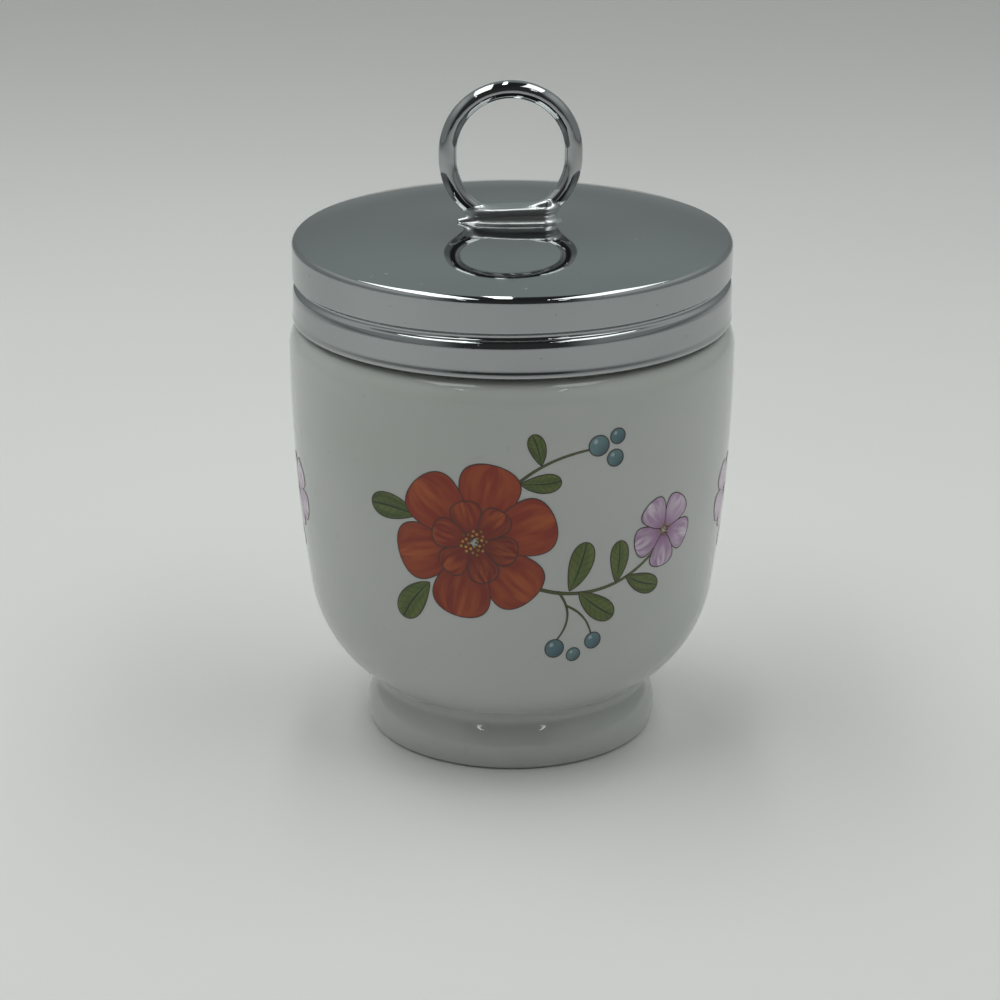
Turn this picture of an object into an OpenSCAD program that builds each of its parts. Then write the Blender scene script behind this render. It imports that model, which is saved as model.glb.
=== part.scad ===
// Porcelain egg coddler: a footed cup with a screw neck, closed by a thin
// screw cap of plated metal that is lifted and turned by a wire ring.
// Millimetres, +Z up. The origin is the middle of the foot, on the table.
// The ring stands in the X-Z plane, and the front is towards -Y.

/* [Cup] */
// Radius of the cup at its widest
cup_r = 30.8; // [30.4:0.1:32.5]
// Height where the straight side turns into the shoulder
shoulder_z = 55.9; // [50:0.5:62]
// Height of the rounded shoulder up to the ledge below the cap
shoulder_h = 3.8; // [2:0.1:5]
// Radius of the slight outward curve of the side
wall_curve_r = 250; // [200:10:400]
// Radius of the bowl where the side turns in to the foot
bowl_r = 18.8; // [17:0.1:20]
// Height of the lowest point of the bowl's circle
bowl_base_z = 5.3; // [4.8:0.1:6]
// Thickness of the porcelain wall
wall_t = 3.4; // [2.6:0.1:4]

/* [Foot] */
// Radius of the foot at its widest
foot_r = 20.6; // [20:0.1:21.5]
// Height where the foot is widest
foot_belly_z = 2.3; // [1.8:0.1:2.8]
// Radius of the foot's rounded side
foot_curve_r = 6.3; // [5:0.1:8]
// Outer radius of the ring that stands on the table
foot_stand_r = 19.4; // [18.8:0.1:19.8]
// Inner radius of the ring that stands on the table
foot_in_r = 17.4; // [16:0.1:18]
// Height of the rounded edge round the base
foot_edge_h = 0.7; // [0.4:0.1:1]
// Radius of the hollow between foot and bowl
waist_r = 2; // [1.2:0.1:3]
// Depth of the hollow under the cup
recess_depth = 4.8; // [3:0.1:5.2]

/* [Neck and thread] */
// Gap between the neck and the rolled groove inside the cap
neck_fit = 0.5; // [0.3:0.05:0.7]
// Wall thickness of the neck
neck_wall = 3.2; // [2.4:0.1:4]
// Height over which the inside narrows into the neck
throat_h = 5.6; // [4:0.2:7]
// Rise of the thread in one turn
pitch = 2; // [1.6:0.1:2.6]
// How far round the thread runs, in degrees
thread_sweep = 300; // [200:10:320]
// How far the porcelain thread stands out of the neck
ridge_h = 0.75; // [0.6:0.05:0.8]
// Half the width of the porcelain thread at the neck
ridge_half = 0.7; // [0.5:0.05:0.75]

/* [Cap] */
// How much smaller the cap's radius is than the cup's
cap_inset = 0.6; // [0.2:0.1:1]
// Height of the cap's side
lid_h = 11.4; // [9:0.2:15]
// Thickness of the pressed metal
lid_wall = 0.55; // [0.4:0.05:0.6]
// Radius of the edge between the cap's top and side
lid_edge_r = 0.8; // [0.6:0.05:1.2]
// Open gap between the cup's shoulder and the cap's lower edge
lid_gap = 0.4; // [0.3:0.05:1]
// Height of the crown's ridge above the cap's edge
crown_h = 2; // [1:0.1:2.3]
// Radius at which the crown is highest
crown_r = 13.5; // [10:0.5:16]
// How much lower the middle of the top is than the crown
crown_dip = 0.55; // [0:0.05:0.8]
// Height of the rolled groove above the cap's lower edge, at the front
groove_z = 5.7; // [4.6:0.1:7]
// Depth of the rolled groove
groove_depth = 0.55; // [0.4:0.05:0.6]
// Half the width of the rolled groove
groove_half = 1.1; // [0.8:0.05:1.2]
// Gap between the cap's underside and the rim of the neck
seat_gap = 0.06; // [0.03:0.01:0.2]

/* [Ring] */
// Thickness of the ring's wire
wire_d = 2.36; // [1.8:0.1:2.8]
// Half the width of the ring, measured to the middle of the wire
ring_r = 8.55; // [7.5:0.1:10]
// Extra height of the ring over a true circle
ring_straight = 0.84; // [0.4:0.1:3]
// Length of the saddle that the ring is brazed into
saddle_l = 12.4; // [11:0.1:14]
// Depth of the saddle from front to back
saddle_w = 4; // [3.6:0.1:6]
// Height of the saddle above the middle of the cap
saddle_h = 1.55; // [1.4:0.05:2]
// Height of the ring's flat foot above the middle of the cap
ring_seat_h = 0.45; // [0.4:0.05:0.6]

/* [Rivet] */
// Radius of the rivet's stem
rivet_r = 1.5; // [1:0.1:1.6]
// Radius of the rivet's peened head
rivet_head_r = 2.7; // [2.4:0.1:3.5]
// Height of the rivet's peened head
rivet_head_h = 0.9; // [0.6:0.1:1.2]
// Radius of the washer under the cap
washer_r = 4.5; // [3.6:0.1:6]
// Thickness of the washer
washer_t = 0.6; // [0.4:0.1:1]
// Radial running gap round the rivet's stem
rivet_gap = 0.08; // [0.05:0.01:0.12]

/* [Hidden] */
$fn = 96;

PORCELAIN = [0.93, 0.94, 0.92];
CHROME = [0.72, 0.74, 0.76];
STEEL = [0.6, 0.6, 0.58];

// The cap takes its radius from the cup, and the neck fits inside the cap
lid_r = cup_r - cap_inset;
lid_in_r = lid_r - lid_wall;
neck_r = lid_in_r - groove_depth - neck_fit;

// Heights that follow from the sizes above
ledge_z = shoulder_z + shoulder_h;
lid_bottom_z = ledge_z + lid_gap;
lid_rim_z = lid_bottom_z + lid_h;
crown_edge_r = lid_r - lid_edge_r;
lid_mid_z = lid_top_z(0);

// Places round the thread: it starts at the back and rises anticlockwise
start_angle = 150;
front_angle = 270;
ramp_angle = 30;
lid_step = 5;
thread_lift = pitch / 2;

// Points on an arc about c, from angle a to angle b in n steps
function arc(c, r, a, b, n) =
    [for (i = [0:n]) let (t = a + (b - a) * i / n) c + r * [cos(t), sin(t)]];

// The same arc without its first point, to carry on from the line before it
function arc_on(c, r, a, b, n) = [for (i = [1:n]) arc(c, r, a, b, n)[i]];

// Smooth step from 0 to 1
function ease(t) = let (u = min(1, max(0, t))) (1 - cos(180 * u)) / 2;

// ---- the cup's outline -------------------------------------------------

wall_c = [cup_r - wall_curve_r, shoulder_z];
bowl_cz = bowl_base_z + bowl_r;
wall_sweep = asin((shoulder_z - bowl_cz) / (wall_curve_r - bowl_r));
bowl_c = wall_c + (wall_curve_r - bowl_r) * [cos(wall_sweep), -sin(wall_sweep)];
foot_c = [foot_r - foot_curve_r, foot_belly_z];

// The hollow above the foot touches the foot's arc and the bowl's arc
waist_d = norm(bowl_c - foot_c);
waist_u = (bowl_c - foot_c) / waist_d;
foot_reach = foot_curve_r + waist_r;
bowl_reach = bowl_r + waist_r;
waist_a = (waist_d * waist_d + foot_reach * foot_reach - bowl_reach * bowl_reach) / (2 * waist_d);
waist_b = sqrt(foot_reach * foot_reach - waist_a * waist_a);
waist_c = foot_c + waist_a * waist_u + waist_b * [waist_u[1], -waist_u[0]];
function angle_of(v) = atan2(v[1], v[0]);
foot_top_angle = angle_of(waist_c - foot_c);
bowl_low_angle = angle_of(waist_c - bowl_c);
foot_low_angle = -asin((foot_belly_z - foot_edge_h) / foot_curve_r);
foot_edge_r = foot_c[0] + foot_curve_r * cos(foot_low_angle);

neck_in_r = neck_r - neck_wall;
rim_r = neck_wall / 2;
rim_mid_r = neck_r - rim_r;
rim_z = lid_top_z(rim_mid_r) - lid_wall - seat_gap;
inner_top_r = wall_c[0] + wall_curve_r - wall_t;

function foot_edge() =
    [for (i = [0:5]) let (t = 90 * i / 6)
        [foot_stand_r + (foot_edge_r - foot_stand_r) * sin(t), foot_edge_h * (1 - cos(t))]];

function shoulder() =
    [for (i = [1:8]) let (t = 90 * i / 8)
        [neck_r + (cup_r - neck_r) * cos(t), shoulder_z + shoulder_h * sin(t)]];

function throat() =
    [for (i = [8:-1:1]) let (t = i / 8)
        [inner_top_r + (neck_in_r - inner_top_r) * ease(t), shoulder_z + throat_h * t]];

// The hollow under the cup: a steep side and a shallow dome. A power of 1
// would make it an ellipse
recess_power = 0.6;
function recess() =
    [for (i = [0:10]) let (t = 90 * i / 10)
        [foot_in_r * sin(t), recess_depth * pow(cos(t), recess_power)]];

function cup_outline() = concat(
    foot_edge(),
    arc(foot_c, foot_curve_r, foot_low_angle, foot_top_angle, 8),
    arc_on(waist_c, waist_r, foot_top_angle + 180, bowl_low_angle + 180, 6),
    arc_on(bowl_c, bowl_r, bowl_low_angle, -wall_sweep, 14),
    arc_on(wall_c, wall_curve_r, -wall_sweep, 0, 8),
    shoulder(),
    arc([rim_mid_r, rim_z - rim_r], rim_r, 0, 180, 12),
    throat(),
    arc(wall_c, wall_curve_r - wall_t, 0, -wall_sweep, 8),
    arc_on(bowl_c, bowl_r - wall_t, -wall_sweep, -90, 12),
    [[0, bowl_base_z + wall_t]],
    recess());

// ---- the thread --------------------------------------------------------

// Middle height of the cap's groove at an angle, along the helix
function helix_z(a) = lid_bottom_z + groove_z + pitch * (a - front_angle) / 360;

// How much of the thread is there: it fades in and out over ramp_angle
function thread_part(a) =
    min(ease((a - start_angle) / ramp_angle),
        ease((start_angle + thread_sweep - a) / ramp_angle));

// Its root lies inside the neck, and its flanks start just under the surface
ridge_root = 0.6;
ridge_sink = 0.15;
ridge_tip_half = 0.2;
function ridge_section(a) =
    let (z = helix_z(a) + thread_lift,
         flank = neck_r - ridge_sink,
         tip = flank + (ridge_h + ridge_sink) * thread_part(a),
         deep = neck_r - ridge_root)
    [for (p = [[deep, -ridge_half], [flank, -ridge_half], [tip, -ridge_tip_half],
               [tip, ridge_tip_half], [flank, ridge_half], [deep, ridge_half]])
        [p[0] * cos(a), p[0] * sin(a), z + p[1]]];

// A closed solid through equal rows of points, with flat ends
module swept(rows) {
    n = len(rows[0]);
    last = len(rows) - 1;
    sides = [for (i = [0:last - 1], j = [0:n - 1])
        let (k = (j + 1) % n)
        each [[i * n + j, (i + 1) * n + j, (i + 1) * n + k],
              [i * n + j, (i + 1) * n + k, i * n + k]]];
    ends = [[for (j = [0:n - 1]) j], [for (j = [n - 1:-1:0]) last * n + j]];
    polyhedron([for (r = rows) each r], concat(sides, ends), convexity = 8);
}

module cup() {
    color(PORCELAIN) union() {
        rotate_extrude() polygon(cup_outline());
        swept([for (a = [start_angle:lid_step:start_angle + thread_sweep]) ridge_section(a)]);
    }
}

// ---- the cap -----------------------------------------------------------

// Height of the cap's top surface at a radius: a crown with a lower middle
function lid_top_z(r) =
    r < crown_r
        ? lid_rim_z + crown_h - crown_dip * pow(1 - pow(r / crown_r, 2), 2)
        : lid_rim_z + crown_h * (1 - pow((r - crown_r) / (crown_edge_r - crown_r), 2));

// The groove's rings follow the helix, and come back down where it is faded out
function loop_z(a) =
    let (over = a - start_angle, rest = 360 - thread_sweep)
    over <= thread_sweep
        ? helix_z(a)
        : helix_z(start_angle + thread_sweep) - pitch * thread_sweep / 360
            * ease((over - thread_sweep) / rest);

groove_steps = 8;
// Points down the groove: s is +1 from top to bottom, r is the plain radius
function groove_rows(a, r, half, s) =
    [for (i = [0:groove_steps]) let (t = s * (1 - 2 * i / groove_steps))
        [r - groove_depth * thread_part(a) * (1 + cos(180 * t)) / 2, loop_z(a) + half * t]];

top_radii = [for (i = [1:9]) crown_edge_r * i / 9];
edge_drop = atan(2 * crown_h / (crown_edge_r - crown_r));
edge_in_r = lid_edge_r - lid_wall;
lip_r = lid_wall / 2;

// One radial section of the cap, from the middle of its top round to the
// middle of its underside
function lid_section(a) = concat(
    [for (r = top_radii) [r, lid_top_z(r)]],
    arc([crown_edge_r, lid_rim_z - lid_edge_r], lid_edge_r, 90 - edge_drop, 0, 4),
    groove_rows(a, lid_r, groove_half, 1),
    arc([lid_r - lip_r, lid_bottom_z + lip_r], lip_r, 0, -180, 4),
    groove_rows(a, lid_in_r, groove_half, -1),
    arc([crown_edge_r, lid_rim_z - lid_edge_r], edge_in_r, 0, 90 - edge_drop, 2),
    [for (i = [len(top_radii) - 1:-1:0]) [top_radii[i], lid_top_z(top_radii[i]) - lid_wall]]);

lid_angles = [for (a = [0:lid_step:355]) start_angle + a];
lid_rows = [for (a = lid_angles)
    [for (p = lid_section(a)) [p[0] * cos(a), p[0] * sin(a), p[1]]]];

// The cap as rings of points closed round the axis, with a pole at each end
module cap_solid(rows) {
    n = len(rows[0]);
    m = len(rows);
    top = m * n;
    sides = [for (i = [0:m - 1], j = [0:n - 2])
        let (k = (i + 1) % m)
        each [[i * n + j, i * n + j + 1, k * n + j + 1],
              [i * n + j, k * n + j + 1, k * n + j]]];
    caps = [for (i = [0:m - 1])
        let (k = (i + 1) % m)
        each [[top, i * n, k * n], [top + 1, k * n + n - 1, i * n + n - 1]]];
    poles = [[0, 0, lid_mid_z], [0, 0, lid_mid_z - lid_wall]];
    polyhedron(concat([for (r = rows) each r], poles), concat(sides, caps), convexity = 8);
}

hole_r = rivet_r + rivet_gap;
module lid_shell() {
    color(CHROME) difference() {
        cap_solid(lid_rows);
        translate([0, 0, lid_mid_z - 2 * lid_wall])
            cylinder(r = hole_r, h = 4 * lid_wall);
    }
}

// ---- the ring and its saddle ------------------------------------------

wire_r = wire_d / 2;
saddle_top_z = lid_mid_z + saddle_h;
ring_seat_z = lid_mid_z + ring_seat_h;
ring_low_z = saddle_top_z - wire_r;
ring_mid_z = ring_low_z + ring_r + ring_straight / 2;
braze_gap = 0.02;

// A wire ring as two half circles and two short straights
module wire_loop(r) {
    translate([0, 0, ring_mid_z]) rotate([90, 0, 0]) {
        for (side = [1, -1]) {
            translate([0, side * ring_straight / 2, 0]) rotate([0, 0, side > 0 ? 0 : 180])
                rotate_extrude(angle = 180) translate([ring_r, 0]) circle(r);
            translate([side * ring_r, -ring_straight / 2, 0]) rotate([-90, 0, 0])
                cylinder(r = r, h = ring_straight);
        }
    }
}

module ring_handle() {
    color(CHROME) difference() {
        wire_loop(wire_r);
        translate([-ring_r, -wire_d, ring_seat_z - 2 * wire_d])
            cube([2 * ring_r, 2 * wire_d, 2 * wire_d]);
    }
}

// The saddle stands on the cap's dipped middle, so its ends follow the crown
saddle_seat = 0.03;
saddle_foot_z = lid_top_z(saddle_l / 2) + saddle_seat;

module saddle_blank() {
    end_r = saddle_w / 2;
    run = saddle_l / 2 - end_r;
    translate([-run, 0, 0]) cylinder(r = end_r, h = saddle_top_z);
    translate([run, 0, 0]) cylinder(r = end_r, h = saddle_top_z);
    translate([-run, -end_r, 0]) cube([2 * run, saddle_w, saddle_top_z]);
}

module ring_saddle() {
    color(CHROME) difference() {
        saddle_blank();
        translate([0, 0, -saddle_h]) cylinder(r = saddle_l, h = saddle_foot_z + saddle_h);
        intersection() {
            wire_loop(wire_r + braze_gap);
            translate([-saddle_l, -saddle_w, ring_seat_z - braze_gap])
                cube([2 * saddle_l, 2 * saddle_w, 2 * ring_r]);
        }
        cylinder(r = hole_r, h = saddle_top_z - wire_r);
    }
}

// ---- the rivet and its washer -----------------------------------------

washer_top_z = lid_mid_z - lid_wall - saddle_seat;
washer_bottom_z = washer_top_z - washer_t;
head_gap = 0.02;
stem_gap = 0.1;
stem_top_z = ring_seat_z - stem_gap;
head_top_z = washer_bottom_z - head_gap;

module ring_rivet() {
    color(STEEL) rotate_extrude() polygon(concat(
        [[0, stem_top_z], [0, head_top_z - rivet_head_h]],
        [for (i = [1:6]) let (t = 90 * i / 6)
            [rivet_head_r * sin(t), head_top_z - rivet_head_h * cos(t)]],
        [[rivet_r, head_top_z], [rivet_r, stem_top_z]]));
}

module rivet_washer() {
    color(STEEL) translate([0, 0, washer_bottom_z]) difference() {
        cylinder(r = washer_r, h = washer_t);
        translate([0, 0, -washer_t]) cylinder(r = hole_r, h = 3 * washer_t);
    }
}

cup();
lid_shell();
ring_saddle();
ring_handle();
ring_rivet();
rivet_washer();
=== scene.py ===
# %% [markdown]
# # A porcelain egg coddler
# An egg coddler is a small porcelain cup with a screw cap. An egg is cracked
# into the buttered cup, the cap is screwed on, and the whole thing stands in
# simmering water until the ring is used to lift it out.
# The engineering model is loaded first. Its sizes are the ruler for all that
# follows: every piece is made in metres, in the place where the model has it.

# %% Load the fixed frame
import math

import bpy
import numpy as np
from mathutils import Matrix, Vector


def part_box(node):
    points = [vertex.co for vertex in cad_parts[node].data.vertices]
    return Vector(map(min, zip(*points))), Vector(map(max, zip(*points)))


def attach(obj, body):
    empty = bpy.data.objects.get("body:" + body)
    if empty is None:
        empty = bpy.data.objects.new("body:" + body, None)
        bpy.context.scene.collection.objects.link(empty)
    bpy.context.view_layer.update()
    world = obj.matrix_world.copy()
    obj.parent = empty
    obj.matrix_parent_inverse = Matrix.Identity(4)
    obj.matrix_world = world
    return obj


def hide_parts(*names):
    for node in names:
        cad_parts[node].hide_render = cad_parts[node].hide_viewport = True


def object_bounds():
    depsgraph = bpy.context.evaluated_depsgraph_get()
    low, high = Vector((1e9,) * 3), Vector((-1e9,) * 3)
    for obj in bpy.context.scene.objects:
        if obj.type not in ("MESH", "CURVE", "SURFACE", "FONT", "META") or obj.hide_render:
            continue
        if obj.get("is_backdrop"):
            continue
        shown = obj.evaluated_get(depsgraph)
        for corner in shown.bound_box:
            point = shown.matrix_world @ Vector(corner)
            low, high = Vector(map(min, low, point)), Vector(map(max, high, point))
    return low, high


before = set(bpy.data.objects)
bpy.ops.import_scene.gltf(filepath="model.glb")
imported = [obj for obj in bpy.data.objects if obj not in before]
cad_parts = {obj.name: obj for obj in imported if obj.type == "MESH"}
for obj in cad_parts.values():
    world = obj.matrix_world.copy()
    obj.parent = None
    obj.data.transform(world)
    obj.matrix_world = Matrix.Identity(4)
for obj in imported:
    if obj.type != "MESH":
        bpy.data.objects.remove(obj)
cad_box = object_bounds()
MM = 0.001

# %% [markdown]
# ## The camera
# The camera stands where the photographer stood: about 40 cm away, looking
# down by 20 degrees through a long lens. Its directions are worked out from
# three angles and written straight into the camera's matrix.

# %% Camera at the photograph's place
def linked(name, data):
    """A new object in the scene."""
    made = bpy.data.objects.new(name, data)
    bpy.context.scene.collection.objects.link(made)
    return made


CAMERA_PLACE = Vector((0, -391.24, 177.27)) * MM
CAMERA_DOWN = 0.3545
CAMERA_LEFT = 0.0039
CAMERA_ROLL = 0.0029
FOCAL_LENGTH = 106.2
SENSOR_WIDTH = 36


def photo_camera():
    forward = Vector((0, math.cos(CAMERA_DOWN), -math.sin(CAMERA_DOWN)))
    up = Vector((0, math.sin(CAMERA_DOWN), math.cos(CAMERA_DOWN)))
    right = Vector((1, 0, 0))
    ahead = forward * math.cos(CAMERA_LEFT) - right * math.sin(CAMERA_LEFT)
    side = right * math.cos(CAMERA_LEFT) + forward * math.sin(CAMERA_LEFT)
    level = side * math.cos(CAMERA_ROLL) + up * math.sin(CAMERA_ROLL)
    top = up * math.cos(CAMERA_ROLL) - side * math.sin(CAMERA_ROLL)
    data = bpy.data.cameras.new("photo_camera")
    data.lens = FOCAL_LENGTH
    data.sensor_width = SENSOR_WIDTH
    data.clip_start = 0.01
    camera = linked("photo_camera", data)
    turn = Matrix((level, top, -ahead)).transposed().to_4x4()
    camera.matrix_world = Matrix.Translation(CAMERA_PLACE) @ turn
    return camera


bpy.context.scene.camera = photo_camera()
print("camera looks down by", round(math.degrees(CAMERA_DOWN), 1), "degrees")

# %% [markdown]
# ## Node trees as Python expressions
# Shaders and Geometry Nodes are both graphs of small sums. Wiring them by
# hand hides the idea, so one class wraps a socket and lets `a * 2 + b` add
# the Math nodes, and one method adds any other node.

# %% A socket that does sums
def sums(operation, swap=False):
    """A method that adds one Math node."""
    def method(self, *others):
        values = (*others, self) if swap else (self, *others)
        return self.graph.node("ShaderNodeMath", dict(enumerate(values)), operation=operation)
    return method


class Wire:
    """An output socket that can stand in a Python expression."""

    __add__ = sums("ADD")
    __radd__ = sums("ADD", swap=True)
    __sub__ = sums("SUBTRACT")
    __rsub__ = sums("SUBTRACT", swap=True)
    __mul__ = sums("MULTIPLY")
    __truediv__ = sums("DIVIDE")
    __gt__ = sums("GREATER_THAN")
    __abs__ = sums("ABSOLUTE")
    least = sums("MINIMUM")
    most = sums("MAXIMUM")
    root = sums("SQRT")
    sin = sums("SINE")
    cos = sums("COSINE")
    fraction = sums("FRACT")

    def __init__(self, graph, socket):
        self.graph = graph
        self.socket = socket

    def __neg__(self):
        return self * -1

    def ramp(self, low, high):
        """0 below low, 1 above high, and smooth between them."""
        values = {"Value": self, "From Min": low, "From Max": high}
        return self.graph.node("ShaderNodeMapRange", values, interpolation_type="SMOOTHSTEP")


# %% A graph that adds any node
class Graph:
    """A node tree with one way to add a node."""

    def __init__(self, tree):
        self.tree = tree

    def node(self, kind, values=None, out=0, **settings):
        node = self.tree.nodes.new(kind)
        for name, value in settings.items():
            setattr(node, name, value)
        for key, value in (values or {}).items():
            self.feed(self.find(node.inputs, key), value)
        return Wire(self, self.find(node.outputs, out))

    def find(self, sockets, key):
        if isinstance(key, int):
            return sockets[key]
        return next(s for s in sockets if s.enabled and key in (s.name, s.identifier))

    def feed(self, socket, value):
        if isinstance(value, Wire):
            self.tree.links.new(value.socket, socket)
        else:
            socket.default_value = value

    def blend(self, part, first, second):
        """A colour that goes from first to second."""
        values = {"Factor": part, "A": first, "B": second}
        return self.node("ShaderNodeMix", values, "Result", data_type="RGBA")

    def noise(self, place, scale, detail=2.0, roughness=0.5):
        values = {"Vector": place, "Scale": scale, "Detail": detail, "Roughness": roughness}
        return self.node("ShaderNodeTexNoise", values)

    def stretch(self, place, scale):
        return self.node("ShaderNodeMapping", {"Vector": place, "Scale": scale})

    def place(self):
        """The point in the object's own frame, in metres."""
        return self.node("ShaderNodeTexCoord", out="Object")

    def split(self, vector):
        first = self.node("ShaderNodeSeparateXYZ", {0: vector})
        outputs = first.socket.node.outputs
        return [Wire(self, outputs[i]) for i in range(3)]

    def vector(self, **parts):
        return self.node("ShaderNodeCombineXYZ", parts)

    def distance(self, first, second):
        values = {0: first, 1: second}
        return self.node("ShaderNodeVectorMath", values, "Value", operation="DISTANCE")

    def bump(self, height):
        """A bent normal. height is in metres."""
        return self.node("ShaderNodeBump", {"Height": height, "Distance": 1.0})

    def circle(self, points, radius):
        values = {"Resolution": points, "Radius": radius}
        return self.node("GeometryNodeCurvePrimitiveCircle", values)

    def moved(self, geometry, position):
        values = {"Geometry": geometry, "Position": position}
        return self.node("GeometryNodeSetPosition", values)


def rgb(red, green, blue):
    """A screen colour from 0 to 255, as the linear colour that shaders use."""
    def linear(v):
        return v / 12.92 if v <= 0.04045 else ((v + 0.055) / 1.055) ** 2.4
    return (linear(red / 255), linear(green / 255), linear(blue / 255), 1.0)


def material(name, constants, paint):
    """A Principled material. paint(graph) returns what varies, by socket."""
    made = bpy.data.materials.new(name)
    made.use_nodes = True
    shader = made.node_tree.nodes["Principled BSDF"]
    for socket, value in constants.items():
        shader.inputs[socket].default_value = value
    graph = Graph(made.node_tree)
    for socket, value in paint(graph).items():
        graph.feed(shader.inputs[socket], value)
    return made


print("helpers ready")

# %% [markdown]
# ## Meshes from rings of points
# The cup and the cap are both turned shapes: rings of points round an axis,
# with one point at each pole. One function closes such rings into a mesh.

# %% Rings of points into a closed mesh
def smooth_object(name, vertices, faces):
    mesh = bpy.data.meshes.new(name)
    mesh.from_pydata([tuple(v) for v in vertices], [], faces)
    mesh.update()
    mesh.shade_smooth()
    return linked(name, mesh)


def loft(name, sections, first_pole, last_pole):
    """sections[angle][point] go round the axis, each from first to last pole."""
    turns, count = sections.shape[0], sections.shape[1]
    vertices = np.vstack([sections.reshape(-1, 3), [first_pole], [last_pole]])
    faces = []
    for i in range(turns):
        here, there = i * count, (i + 1) % turns * count
        faces.append((turns * count, here, there))
        for j in range(count - 1):
            faces.append((here + j, here + j + 1, there + j + 1, there + j))
        faces.append((turns * count + 1, there + count - 1, here + count - 1))
    return smooth_object(name, vertices, faces)


def arc(centre, radius, start, end, steps, skip=0):
    """Points on an arc, angles in radians. skip leaves out the first ones."""
    angles = np.linspace(start, end, steps + 1)[skip:]
    turned = np.stack([np.cos(angles), np.sin(angles)], 1)
    return np.array(centre) + radius * turned


def ease(t):
    """A smooth step from 0 to 1."""
    return (1 - np.cos(math.pi * np.clip(t, 0, 1))) / 2


# %% [markdown]
# ## The cup's outline
# The side is part of a very large circle, the bowl part of a smaller one, and
# the foot swells out below a tight hollow. Each arc touches the next one, so
# the glaze shows no edge. Most of these sizes are the engineering model's
# own. The hollow, the cap's height and crown, its seat and the ring's wire
# are set a little differently here, to look like the photograph.

# %% Driving sizes of the cup, in millimetres
CUP_R = 30.8
SHOULDER_Z = 55.9
SHOULDER_H = 3.8
WALL_CURVE_R = 250
WALL_T = 3.4
BOWL_R = 18.8
BOWL_BASE_Z = 5.3
FOOT_R = 20.6
FOOT_BELLY_Z = 2.3
FOOT_CURVE_R = 6.3
FOOT_STAND_R = 19.4
FOOT_IN_R = 17.4
FOOT_EDGE_H = 0.7
WAIST_R = 1.4
RECESS_DEPTH = 4.8
THROAT_H = 5.6
NECK_WALL = 3.2

# %% Driving sizes of the cap and the thread, in millimetres
LID_R = 30.2
LID_H = 11.2
LID_WALL = 0.55
LID_EDGE_R = 0.8
LID_GAP = 0.4
CROWN_H = 2.2
CROWN_R = 13.5
CROWN_DIP = 0.4
GROOVE_Z = 5.7
GROOVE_DEPTH = 0.55
NECK_FIT = 0.5
SEAT_GAP = 0.3
PITCH = 2
THREAD_START = 150
THREAD_SWEEP = 300
THREAD_RAMP = 30
RIDGE_H = 0.75
FRONT = 270

LEDGE_Z = SHOULDER_Z + SHOULDER_H
LID_BOTTOM_Z = LEDGE_Z + LID_GAP
LID_RIM_Z = LID_BOTTOM_Z + LID_H
CROWN_EDGE_R = LID_R - LID_EDGE_R
NECK_R = LID_R - LID_WALL - GROOVE_DEPTH - NECK_FIT


def lid_top_z(r):
    """Height of the cap's top: a crown with a slightly lower middle."""
    inner = LID_RIM_Z + CROWN_H - CROWN_DIP * (1 - (r / CROWN_R) ** 2) ** 2
    fall = (r - CROWN_R) / (CROWN_EDGE_R - CROWN_R)
    return np.where(r < CROWN_R, inner, LID_RIM_Z + CROWN_H * (1 - fall ** 2))


def lid_top_at(r):
    """The same height at one radius, as a plain number."""
    return float(lid_top_z(np.array(r)))


cup_low, cup_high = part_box("cup")
print("cup is", round((cup_high.x - cup_low.x) / MM, 2), "mm wide in the model")

# %% Where the arcs of the cup touch
WALL_CENTRE = np.array([CUP_R - WALL_CURVE_R, SHOULDER_Z])
BOWL_CENTRE_Z = BOWL_BASE_Z + BOWL_R
WALL_SWEEP = math.asin((SHOULDER_Z - BOWL_CENTRE_Z) / (WALL_CURVE_R - BOWL_R))
WALL_TO_BOWL = np.array([math.cos(WALL_SWEEP), -math.sin(WALL_SWEEP)])
BOWL_CENTRE = WALL_CENTRE + (WALL_CURVE_R - BOWL_R) * WALL_TO_BOWL
FOOT_CENTRE = np.array([FOOT_R - FOOT_CURVE_R, FOOT_BELLY_Z])


def waist_centre():
    """Centre of the hollow that touches both the foot's and the bowl's arc."""
    between = BOWL_CENTRE - FOOT_CENTRE
    span = np.linalg.norm(between)
    along = between / span
    foot_reach, bowl_reach = FOOT_CURVE_R + WAIST_R, BOWL_R + WAIST_R
    run = (span ** 2 + foot_reach ** 2 - bowl_reach ** 2) / (2 * span)
    rise = math.sqrt(foot_reach ** 2 - run ** 2)
    return FOOT_CENTRE + run * along + rise * np.array([along[1], -along[0]])


WAIST_CENTRE = waist_centre()
FOOT_TOP = math.atan2(*(WAIST_CENTRE - FOOT_CENTRE)[::-1])
BOWL_LOW = math.atan2(*(WAIST_CENTRE - BOWL_CENTRE)[::-1])
FOOT_LOW = -math.asin((FOOT_BELLY_Z - FOOT_EDGE_H) / FOOT_CURVE_R)
print("bowl's centre", BOWL_CENTRE.round(2), "waist's centre", WAIST_CENTRE.round(2))

# %% The cup's whole outline, outside from the foot up and inside back down
RIM_R = NECK_WALL / 2
RIM_MID_R = NECK_R - RIM_R
RIM_Z = lid_top_at(RIM_MID_R) - LID_WALL - SEAT_GAP
NECK_FOOT_H = 0.3
RECESS_FULLNESS = 0.6


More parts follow.
